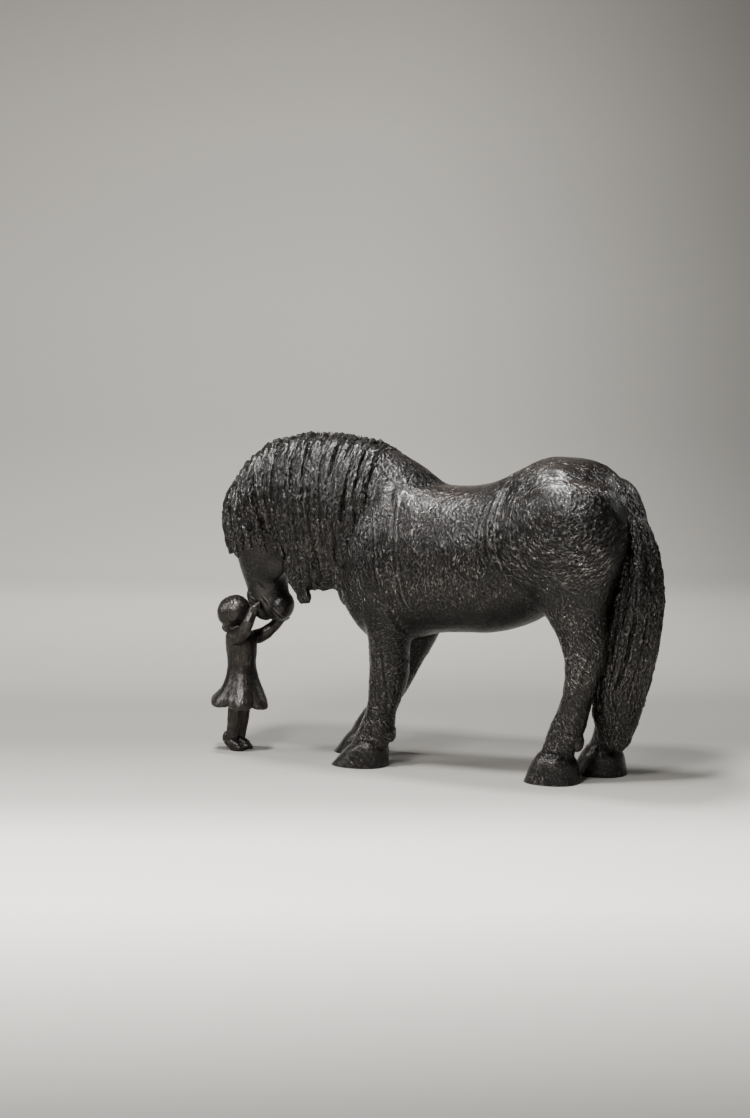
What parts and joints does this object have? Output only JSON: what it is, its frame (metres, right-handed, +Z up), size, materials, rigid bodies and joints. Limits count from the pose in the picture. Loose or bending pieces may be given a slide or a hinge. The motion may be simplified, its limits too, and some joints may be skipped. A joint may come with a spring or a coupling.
{
  "type": "bronze girl and horse statue",
  "caption": "Dark bronze statue of a stocky pony bending its maned head down to a small girl in a flared dress who stands on her toes and holds its muzzle.",
  "frame": {"origin": "bottom centre of the bounding box, on the plane the hooves and the girl's toes stand on", "axes": "+X from the girl and the horse's head towards its tail, +Z up, -Y the horse's near side as pictured"},
  "size_m": [0.485, 0.1416, 0.3336],
  "materials": {
    "dark_bronze": "near-black brown patina over cast bronze, waxed, with paler worn strokes on raised tool marks"
  },
  "bodies": {
    "root": {"girl_and_horse": "dark_bronze"}
  },
  "joints": []
}
